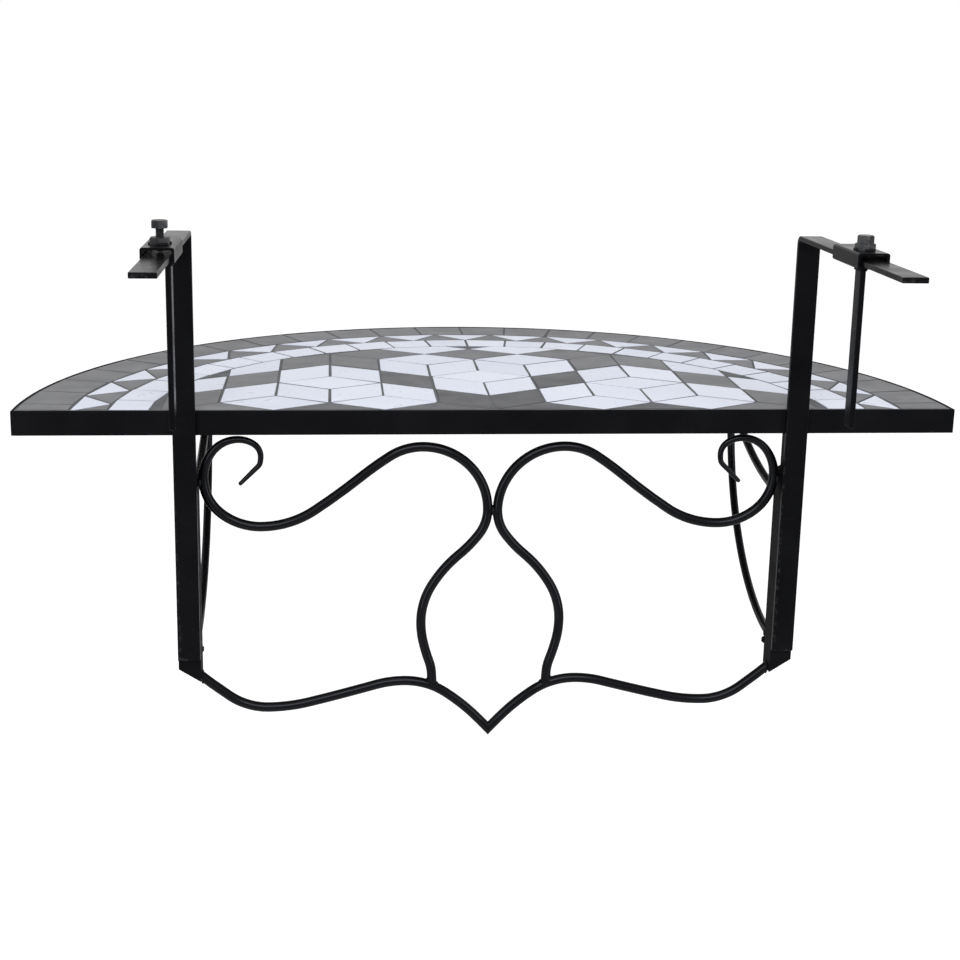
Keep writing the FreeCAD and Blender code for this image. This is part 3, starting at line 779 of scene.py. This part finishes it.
# %% [markdown]
# ## The wavy lower rod
# It is two bent halves cut at an angle and welded point to point in the middle. Sweeping round
# such a sharp corner would pinch it, so one half is swept past the middle and cut by the
# middle plane. Its outer end is cut square at the upright's web, which it butts against, and
# that cut is closed. Then the half is mirrored and joined to its twin, and its normals are
# recalculated, because a mirror turns them inside out.

# %% Grow the lower rod


def cut_away(work, plane_x, way_x):
    everything = work.verts[:] + work.edges[:] + work.faces[:]
    cut = bmesh.ops.bisect_plane(work, geom=everything, plane_co=(plane_x * mm, 0, 0),
                                 plane_no=(way_x, 0, 0), clear_outer=True)
    return [item for item in cut["geom_cut"] if isinstance(item, bmesh.types.BMEdge)]


line = [front_point(p, 1) for p in lower_line]
mesh = run_tree("lower_rod", bar_tree, [(line, [rod_radius] * len(line))], rod_black, seed=7.0)
work = bmesh.new()
work.from_mesh(mesh)
cut_away(work, 0, -1)
butt = cut_away(work, web_inner - 0.05, 1)
bmesh.ops.contextual_create(work, geom=butt)
twin = bmesh.ops.duplicate(work, geom=work.verts[:] + work.edges[:] + work.faces[:])
for item in twin["geom"]:
    if isinstance(item, bmesh.types.BMVert):
        item.co.x = -item.co.x
bmesh.ops.remove_doubles(work, verts=work.verts, dist=5e-6)
bmesh.ops.recalc_face_normals(work, faces=work.faces)
work.to_mesh(mesh)
work.free()
lower_rod = plain("lower_rod", mesh, rod_black, angle=smooth_under)
takes_place(lower_rod, "valance_rod")
print("lower rod faces", len(mesh.polygons), "edges at each butt", len(butt))

# %% [markdown]
# ## The swinging braces
# Each brace is a post that turns in two ears, a long rod bent in a quarter round with a foot
# that slides under the rear cross bar, and a shorter stay that meets it near its end. All
# three are round bar, so the two bent ones grow from the same tree, in the brace's own upright
# plane. The radius of each arc follows from the two places that it joins.

# %% Draw the braces
brace_radius, foot_end_radius = 3.5, 2.9
reach, foot_bend = 165.6, 12.0
foot_reach, foot_chamfer = 22, 0.7
foot_level = table_z - 18.8
arc_z = foot_level - foot_bend
start_z = table_z - 204.3
stay_z = table_z - 78.0
far_y = post_y + reach
big_radius = (reach ** 2 + (arc_z - start_z) ** 2) / (2 * reach)
arc_y = far_y - big_radius
brace_step = 2.0


def arc_in_plane(centre_y, centre_z, radius, first, last):
    count = max(4, math.ceil(abs(last - first) / brace_step))
    turns = [math.radians(first + (last - first) * k / count) for k in range(count + 1)]
    return [(centre_y + radius * math.cos(t), centre_z + radius * math.sin(t)) for t in turns]


def long_rod(side):
    first = math.degrees(math.atan2(start_z - arc_z, post_y - arc_y))
    line = [(side * post_x, y, z) for y, z in arc_in_plane(arc_y, arc_z, big_radius, first, 0)]
    for k in range(1, 10):
        t = math.radians(10 * k)
        across = foot_bend * (1 - math.cos(t))
        line.append((side * (post_x - across), far_y, arc_z + foot_bend * math.sin(t)))
    for across in (foot_reach - foot_chamfer, foot_reach):
        line.append((side * (post_x - across), far_y, foot_level))
    return line


def short_stay(side):
    meets = math.radians(1)
    end_y = arc_y + big_radius * math.cos(meets)
    end_z = arc_z - big_radius * math.sin(meets)
    radius = ((end_y - post_y) ** 2 + (end_z - stay_z) ** 2) / (2 * (end_z - stay_z))
    last = math.degrees(math.asin((end_y - post_y) / radius)) - 90
    arc = arc_in_plane(post_y, stay_z + radius, radius, -90, last)
    return [(side * post_x, y, z) for y, z in arc]


brace_lines = {side: (long_rod(sign), short_stay(sign)) for side, sign in sides.items()}
print("brace arc radius", round(big_radius, 1), "mm")

# %% [markdown]
# ## Growing the braces
# The long rod's foot is cut with a small chamfer, so that it slides under the cross bar without
# scratching. The last point of its path is thinner for that.

# %% Grow the braces
for side in sides:
    for name, line in zip(("brace_rod_", "brace_stay_"), brace_lines[side]):
        sizes = [brace_radius] * len(line)
        if name == "brace_rod_":
            sizes[-1] = foot_end_radius
        mesh = run_tree(name + side + "_bar", bar_tree, [(line, sizes)], rod_black, seed=11.0)
        bar = plain(name + side + "_bar", mesh, rod_black, angle=smooth_under)
        takes_place(bar, name + side)
        print(bar.name, "faces", len(mesh.polygons))

# %% [markdown]
# ## Laying the tiles
# Every tile was cut and laid by hand, so no two lie quite alike: each may turn by a fraction of
# a degree, sit a tenth of a millimetre low or lean a little, and that is what makes the glaze
# glint unevenly. The model's tiles are copied, taken apart into single tiles, nudged from a
# fixed seed and eased along their cut edges. Nothing is raised above the model's own top. The
# dark tiles come in two shades, the paler one outside, so their tint also grows with the
# distance from the heart of the pattern.

# %% Nudge and tint a tile
most_turn, most_lean_x, most_lean_y = math.radians(0.45), 0.006, 0.008
most_sunk, most_slide = 0.12, 0.2
heart_y, dark_reach, shade_change = 60, 140, 20


def single_tiles(work):
    waiting, tiles = set(work.verts), []
    while waiting:
        tile, edge_of_search = set(), [next(iter(waiting))]
        while edge_of_search:
            vert = edge_of_search.pop()
            if vert in tile:
                continue
            tile.add(vert)
            edge_of_search += [edge.other_vert(vert) for edge in vert.link_edges]
        waiting -= tile
        tiles.append(sorted(tile, key=lambda v: v.index))
    return sorted(tiles, key=lambda tile: tile[0].index)


def clamped(value):
    return min(1.0, max(0.0, value))


def dark_shade(own, middle):
    from_heart = math.hypot(middle.x / mm, middle.y / mm - heart_y)
    return 0.25 * own + 0.75 * clamped((from_heart - dark_reach) / shade_change)


def nudge(tile, chance, tint_layer, is_dark):
    middle = sum((v.co for v in tile), Vector()) / len(tile)
    turned = Matrix.Rotation(chance.uniform(-most_turn, most_turn), 3, "Z")
    lean_x = chance.uniform(-most_lean_x, most_lean_x)
    lean_y = chance.uniform(-most_lean_y, most_lean_y)
    reach = max((v.co - middle).length for v in tile)
    drop = chance.uniform(0.0, most_sunk) * mm + reach * (abs(lean_x) + abs(lean_y)) * 0.75
    slide_x, slide_y = (chance.uniform(-most_slide, most_slide) for _ in range(2))
    tint = chance.random()
    if is_dark:
        tint = dark_shade(tint, middle)
    for v in tile:
        away = turned @ (v.co - middle)
        away.z += away.x * lean_x + away.y * lean_y - drop
        v.co = middle + away + Vector((slide_x, slide_y, 0)) * mm
        v[tint_layer] = tint


print("tiles turn by up to", round(math.degrees(most_turn), 2), "degrees")

# %% [markdown]
# ## Easing and staining the tiles
# The edges are eased and the cut sides marked for the grout's stain while the tiles still lie
# level, because the stain goes by the depth under the tabletop. The grout bed is the model's.

# %% Lay the tiles
glaze_edge, stain_from, stain_over = 0.2, 0.15, 0.2


def laid_tiles(node, finish, slot, seed):
    work = merged(node)
    chance = random.Random(seed)
    tint_layer = work.verts.layers.float.new("tile_tint")
    smear_layer = work.verts.layers.float.new("grout_smear")
    bevel(work, crisp_edges(work), glaze_edge * mm, 2)
    for v in work.verts:
        depth = table_z - v.co.z / mm
        v[smear_layer] = clamped((depth - stain_from) / stain_over)
    tiles = single_tiles(work)
    for tile in tiles:
        nudge(tile, chance, tint_layer, slot == "dark_tile")
    piece = settled(node + "_laid", work, finish, angle=60)
    takes_place(piece, node)
    print(piece.name, "tiles", len(tiles), "faces", len(piece.data.polygons))


for seed, field in enumerate(("diamond", "band", "triangle")):
    laid_tiles("tiles_" + field + "_white", white_glaze, "white_tile", 11 + seed)
for seed, node in enumerate(("tiles_diamond_dark", "tiles_triangle_dark", "tiles_border_dark")):
    laid_tiles(node, dark_stone, "dark_tile", 21 + seed)

grout_bed = nodes["grout_bed"]
grout_bed.data.materials.clear()
grout_bed.data.materials.append(grout.material)

# %% [markdown]
# ## Turned pieces
# Rivets, hinge pins and the braces' posts are round about an axis, so each is a short profile
# of radius and distance, turned about it. The hook's rivets are countersunk and dressed flush
# in front and have a button head behind. The pins have a chamfered head, and the posts
# chamfered ends.

# %% Define the lathe


def turned_piece(profile, place, axis):
    work = bmesh.new()
    count = 40
    steer = Vector((0, 0, 1)).rotation_difference(Vector(axis)).to_matrix()

    def point(radius, along, t):
        spot = Vector((radius * math.cos(t), radius * math.sin(t), along))
        return work.verts.new((Vector(place) + steer @ spot) * mm)

    rings = []
    for radius, along in profile:
        turns = [2 * math.pi * k / count for k in range(count)] if radius else [0]
        rings.append([point(radius, along, t) for t in turns])
    for low, high in zip(rings, rings[1:]):
        for k in range(count):
            a, b = low[k % len(low)], low[(k + 1) % len(low)]
            c, d = high[(k + 1) % len(high)], high[k % len(high)]
            corners = list(dict.fromkeys((a, b, c, d)))
            if len(corners) > 2:
                work.faces.new(corners)
    bmesh.ops.recalc_face_normals(work, faces=work.faces)
    return work


def stacked(name, works, finish, angle=35):
    whole = bmesh.new()
    for work in works:
        mesh = bpy.data.meshes.new("part")
        work.to_mesh(mesh)
        work.free()
        whole.from_mesh(mesh)
        bpy.data.meshes.remove(mesh)
    mesh = bpy.data.meshes.new(name)
    whole.to_mesh(mesh)
    whole.free()
    return plain(name, mesh, finish, angle)


print("the lathe is ready")

# %% [markdown]
# ## Rivets, pins and posts
# The rivets' profile is typed, because a button head's shape comes from the riveter's tool.
# Pins and posts take their ends from the model, and only their chamfers are added.

# %% Turn the rivets, pins and posts
rivet_profile = [(0, 0.02), (2.6, 0.02), (3.9, 0.05), (4.42, 0.16), (2.5, 2.05), (2.5, 7.0),
                 (4.45, 7.0), (4.5, 7.25), (4.3, 7.9), (3.7, 8.45), (2.6, 8.85), (1.3, 9.0),
                 (0, 9.0)]
pin_radius, pin_head = 3.0, 5.0
low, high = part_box("hinge_pin_right")
pin_y, pin_z = (low.y + high.y) / 2 / mm, (low.z + high.z) / 2 / mm
head_from, head_to = box_of("hinge_plate_right")[1][0], box_of("hinge_pin_right")[1][0]
pin_profile = [(0, web_inner), (pin_radius - 0.4, web_inner), (pin_radius, web_inner + 0.4),
               (pin_radius, head_from), (pin_head - 0.3, head_from), (pin_head, head_from + 0.3),
               (pin_head, head_to - 0.9), (pin_head - 0.8, head_to - 0.15),
               (pin_head - 1.6, head_to), (0, head_to)]
post_low, post_high = (corner[2] for corner in box_of("brace_post_right"))
post_radius, post_chamfer = 4.0, 0.8
post_profile = [(0, post_low), (post_radius - post_chamfer, post_low),
                (post_radius, post_low + post_chamfer), (post_radius, post_high - post_chamfer),
                (post_radius - post_chamfer, post_high), (0, post_high)]
for side, sign in sides.items():
    rivets = [turned_piece(rivet_profile, (sign * hook_x, 0, z), (0, 1, 0)) for z in rivet_levels]
    pin = turned_piece(pin_profile, (0, pin_y, pin_z), (sign, 0, 0))
    post = turned_piece(post_profile, (sign * post_x, post_y, 0), (0, 0, 1))
    for name, node, works, finish in (("flush_rivets_", "hook_rivets_", rivets, hook_black),
                                      ("turned_hinge_pin_", "hinge_pin_", [pin], steel),
                                      ("turned_brace_post_", "brace_post_", [post], steel)):
        takes_place(stacked(name + side, works, finish), node + side)
print("pins from", web_inner, "to", head_to, "mm, posts from", post_low, "to", post_high, "mm")

# %% [markdown]
# ## Clamp bolts and nuts
# A hexagon is turned too, in a way: going round it, the distance to its side grows towards each
# corner. The chamfer that a lathe cuts on a real nut falls away with that distance, which gives
# the curved shoulders of a real bolt head. The thread is a shank whose radius rises and falls
# once for each pitch climbed.

# %% Define the hexagons and threads
chamfer_slope = math.tan(math.radians(30))


def around_axis(work, place, radius, level, t):
    spot = (place[0] + radius * math.cos(t), place[1] + radius * math.sin(t), level)
    return work.verts.new(Vector(spot) * mm)


def wall(work, a, b):
    for k in range(len(a)):
        n = (k + 1) % len(a)
        work.faces.new((a[k], a[n], b[n], b[k]))


def hexagon_piece(place, across, low, high, bore):
    count, flat = 72, across / 2 * 0.94
    rings = [[], [], [], [], [], []]
    work = bmesh.new()
    for k in range(count):
        t = 2 * math.pi * k / count
        side = across / 2 / math.cos((t + math.pi / 6) % (math.pi / 3) - math.pi / 6)
        shoulder = high - (side - flat) * chamfer_slope
        shape = ((bore, high), (flat, high), (side, shoulder),
                 (side, low), (flat, low), (bore, low))
        for ring, (radius, level) in zip(rings, shape):
            ring.append(around_axis(work, place, radius, level, t))
    for a, b in zip(rings, rings[1:] + rings[:1]):
        wall(work, a, b)
    bmesh.ops.remove_doubles(work, verts=work.verts, dist=1e-7)
    bmesh.ops.recalc_face_normals(work, faces=work.faces)
    return work


def threaded_shank(place, radius, depth, pitch, low, high):
    count, rows = 32, math.ceil((high - low) / pitch * 8)
    work = bmesh.new()
    rings = []
    for row in range(rows + 1):
        level = low + (high - low) * row / rows
        point = min(1.0, 0.55 + (level - low) / (1.2 * pitch))
        ring = []
        for k in range(count):
            climb = (level / pitch - k / count) % 1.0
            crest = max(0.0, 1 - abs(climb - 0.5) * 2.3)
            size = min(radius, (radius - depth + depth * min(1, crest * 1.25)) * point)
            ring.append(around_axis(work, place, size, level, 2 * math.pi * k / count))
        rings.append(ring)
    for a, b in zip(rings, rings[1:]):
        wall(work, a, b)
    work.faces.new(rings[0][::-1])
    work.faces.new(rings[-1])
    bmesh.ops.recalc_face_normals(work, faces=work.faces)
    return work


print("hexagons and threads can be cut")

# %% [markdown]
# ## An M6 bolt and its nut on each clamp
# The head is a nut whose bore is a thousandth of a millimetre, which is as good as closed. The
# shank reaches a tenth of a millimetre into it, so that no light shows between them.

# %% Cut the bolts and nuts
head_across, head_height, closed = 10.4, 5.5, 0.001
nut_across, nut_bore = 13.0, 3.1
thread_radius, thread_depth, thread_pitch = 3.0, 0.5, 1.0
for side, sign in sides.items():
    place = (sign * bolt_x, bolt_y)
    tip, crown = (corner.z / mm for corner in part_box("clamp_bolt_" + side))
    nut_low, nut_high = (corner.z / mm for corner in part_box("clamp_nut_" + side))
    head = hexagon_piece(place, head_across, crown - head_height, crown, closed)
    thread = threaded_shank(place, thread_radius, thread_depth, thread_pitch, tip,
                            crown - head_height + 0.1)
    bolt = stacked("threaded_bolt_" + side, [head, thread], bolt_black, angle=25)
    takes_place(bolt, "clamp_bolt_" + side)
    ring = hexagon_piece(place, nut_across, nut_low, nut_high, nut_bore)
    nut = stacked("welded_nut_" + side, [ring], bolt_black, angle=25)
    takes_place(nut, "clamp_nut_" + side)
    print(bolt.name, "from", round(tip, 1), "to", round(crown, 1), "mm")

# %% [markdown]
# ## Weld beads
# Wherever two pieces of this table meet, a short weld holds them, and the powder lies over it.
# A bead is a row of overlapping drops, so Geometry Nodes lay drops along a path: the path is
# resampled to the drops' spacing, each drop gets its own size from a fixed seed, and the whole
# is realized and slightly dented.

# %% Build the weld tree
weld_tree, given = tree_with("weld_bead", [
    ("Spacing", "Float", 0.0011), ("Dent size", "Float", 500.0), ("Dent depth", "Float", 0.00025),
    ("Seed", "Float", 1.0)])
curve = add_node(weld_tree, "GeometryNodeMeshToCurve", {0: given["Path"]})
feeds = {"Curve": curve.outputs[0], "Length": given["Spacing"]}
spaced = add_node(weld_tree, "GeometryNodeResampleCurve", feeds, mode="LENGTH")
drop = add_node(weld_tree, "GeometryNodeMeshIcoSphere", {"Radius": 1.0, "Subdivisions": 2})
whole_seed = add_node(weld_tree, "FunctionNodeFloatToInt", {0: given["Seed"]})
feeds = {2: 0.8, 3: 1.15, "Seed": whole_seed.outputs[0]}
vary = add_node(weld_tree, "FunctionNodeRandomValue", feeds, data_type="FLOAT")
size = times(weld_tree, vary.outputs[1], named_thickness(weld_tree))
feeds = {"Points": spaced.outputs[0], "Instance": drop.outputs["Mesh"], "Scale": size}
drops = add_node(weld_tree, "GeometryNodeInstanceOnPoints", feeds)
loose = add_node(weld_tree, "GeometryNodeRealizeInstances", {0: drops.outputs[0]})
close_tree(weld_tree, given, dent(weld_tree, given, loose.outputs[0]))
print("weld tree has", len(weld_tree.nodes), "nodes")

# %% [markdown]
# ## Where the frame's welds lie
# The front rods are welded to the uprights at the curls, to each other at the waist and to the
# lower rod at their feet. The lower rod is welded to each upright's web that it butts against,
# and closed at its point. Behind them, ears, hinge plates and cross bars have their own beads.

# %% List the frame's welds


def straight(a, b, size):
    return [Vector(a), Vector(a).lerp(Vector(b), 0.5), Vector(b)], [size * 0.8, size, size * 0.85]


def around(centre, u, v, radius, size, first=0, last=360):
    count = 16
    turns = [math.radians(first + (last - first) * k / count) for k in range(count + 1)]
    u, v = Vector(u) * radius, Vector(v) * radius
    return [Vector(centre) + u * math.cos(t) + v * math.sin(t) for t in turns], [size] * (count + 1)


def saddle_ring(s):
    ring, count = [], 16
    for k in range(count + 1):
        t = 2 * math.pi * k / count
        x, across = foot_x + 4.3 * math.cos(t), 4.3 * math.sin(t)
        over_axis = math.sqrt(max(0.4, 17.5 - across * across * 0.86))
        level = table_z + height_on(lower_line, x) + over_axis
        ring.append((s * x, rod_y + across * 0.93, level))
    return ring, [1.15] * (count + 1)


ear_tops, ear_thick, ear_x = (-66.0, -208.1), 3.0, 241.0
plate_x, plate_z = head_from + 0.5, table_z - 14.6
touch_x, touch_z = web_inner - 1.5, table_z + curl_z - 2.5
butt_x = web_inner - 0.5
frame_welds = []
for face in (-1, 1):
    y = rod_y + face * 2.9
    waist = table_z + waist_z
    frame_welds.append(straight((0, y, waist + 2), (0.2, y, waist - 2), 1.9))
    for s in (-1, 1):
        frame_welds.append(straight((s * touch_x, y, touch_z + 1.5),
                                    (s * (touch_x + 0.2), y, touch_z - 1.5), 2.0))
for s in (-1, 1):
    butt_centre = (s * butt_x, rod_y, table_z + height_on(lower_line, butt_x))
    frame_welds.append(around(butt_centre, (0, 1, 0), (0, 0, 1.25), rod_radius, 0.9))
    frame_welds.append(saddle_ring(s))
    for top_z in ear_tops:
        for z in (table_z + top_z + 0.3, table_z + top_z - ear_thick - 0.3):
            frame_welds.append(straight((s * ear_x, 9.0, z), (s * ear_x, 22.0, z), 1.1))
    frame_welds.append(straight((s * plate_x, 9, plate_z), (s * plate_x, 20, plate_z), 1.3))
under_point = table_z + point_z - rod_radius / math.cos(point_slope) + 1.6
frame_welds.append(straight((0, rod_y - 2.2, under_point), (0, rod_y + 2.2, under_point), 1.1))
for node in ("cross_bar_front", "cross_bar_rear"):
    low, high = (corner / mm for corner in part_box(node))
    for x in (low.x + 0.6, high.x - 0.6):
        frame_welds.append(straight((x, low.y + 2, low.z + 0.6), (x, high.y - 2, low.z + 0.6), 1.3))
print("welds on the frame:", len(frame_welds))

# %% [markdown]
# ## The welds of the moving pieces
# A brace's rod and stay are welded to the post that turns with them, and to each other where
# they meet. A clamp's leg is welded to its sleeve, and its nut by three short beads. Each body's
# beads are one piece that moves with it.

# %% Lay all welds


def brace_welds(side, sign):
    rod, stay = brace_lines[side]
    starts = [(sign * post_x, post_y + 3.6, line[0][2]) for line in (rod, stay)]
    welds = [around(start, (1, 0, 0), (0, 0, 1), brace_radius, 1.1) for start in starts]
    near = [p for p in stay if p[1] > stay[-1][1] - 22]
    for x in (-2.3, 2.3):
        line = [(p[0] + x, p[1], p[2] - 2.7) for p in near[:-1]]
        welds.append((line, [1.4] * len(line)))
    return welds


def clamp_welds(side):
    low, high = (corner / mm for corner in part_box("clamp_leg_" + side))
    nut_low, nut_high = (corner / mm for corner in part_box("clamp_nut_" + side))
    middle = ((nut_low.x + nut_high.x) / 2, (nut_low.y + nut_high.y) / 2, nut_low.z + 0.5)
    welds = [straight((x, low.y + 1.2, high.z - 0.5), (x, high.y - 1.2, high.z - 0.5), 1.1)
             for x in (low.x - 0.3, high.x + 0.3)]
    for first in (20, 140, 260):
        welds.append(around(middle, (1, 0, 0), (0, 1, 0), 7.1, 1.1, first, first + 55))
    return welds


def lay_welds(name, welds, body, seed):
    mesh = run_tree(name, weld_tree, welds, bead_coat, float(seed))
    beads = plain(name, mesh, bead_coat, angle=60)
    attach(beads, body)
    print(name, "paths", len(welds), "faces", len(mesh.polygons))


lay_welds("weld_beads_table_frame", frame_welds, "table_frame", 5)
for number, (side, sign) in enumerate(sides.items()):
    lay_welds("weld_beads_brace_" + side, brace_welds(side, sign), "brace_" + side, 7 + number)
    lay_welds("weld_beads_clamp_" + side, clamp_welds(side), "clamp_" + side, 9 + number)

# %% [markdown]
# ## The floor
# The table hangs in the air in its picture, on white. A plain pale floor well below it keeps
# the shadow for other views. Its own dim glow, seen by the camera alone, lifts it to white, so
# no extra light falls on the object to bleach the background.

# %% Lay the floor
floor_z, half_side, glow = -1.0, 40, 0.53
paint = Finish("pale_studio_floor", 0.9, 0.1)
patches = paint.span(paint.noise(2, 2), 0.3, 0.7)
paint.colour(paint.mix(patches, (0.86, 0.86, 0.86), (0.88, 0.88, 0.88)))
seen = paint.node("LightPath").outputs["Is Camera Ray"]
paint.shader.inputs["Emission Color"].default_value = (1, 1, 1, 1)
paint.show("Emission Strength", paint.calculated("MULTIPLY", seen, glow))
corners = [(x * half_side, y * half_side, floor_z) for x, y in ((-1, -1), (1, -1), (1, 1), (-1, 1))]
floor_mesh = bpy.data.meshes.new("studio_floor")
floor_mesh.from_pydata(corners, [], [(0, 1, 2, 3)])
floor_mesh.materials.append(paint.material)
floor = bpy.data.objects.new("studio_floor", floor_mesh)
scene.collection.objects.link(floor)
print("floor at", floor_z, "m")
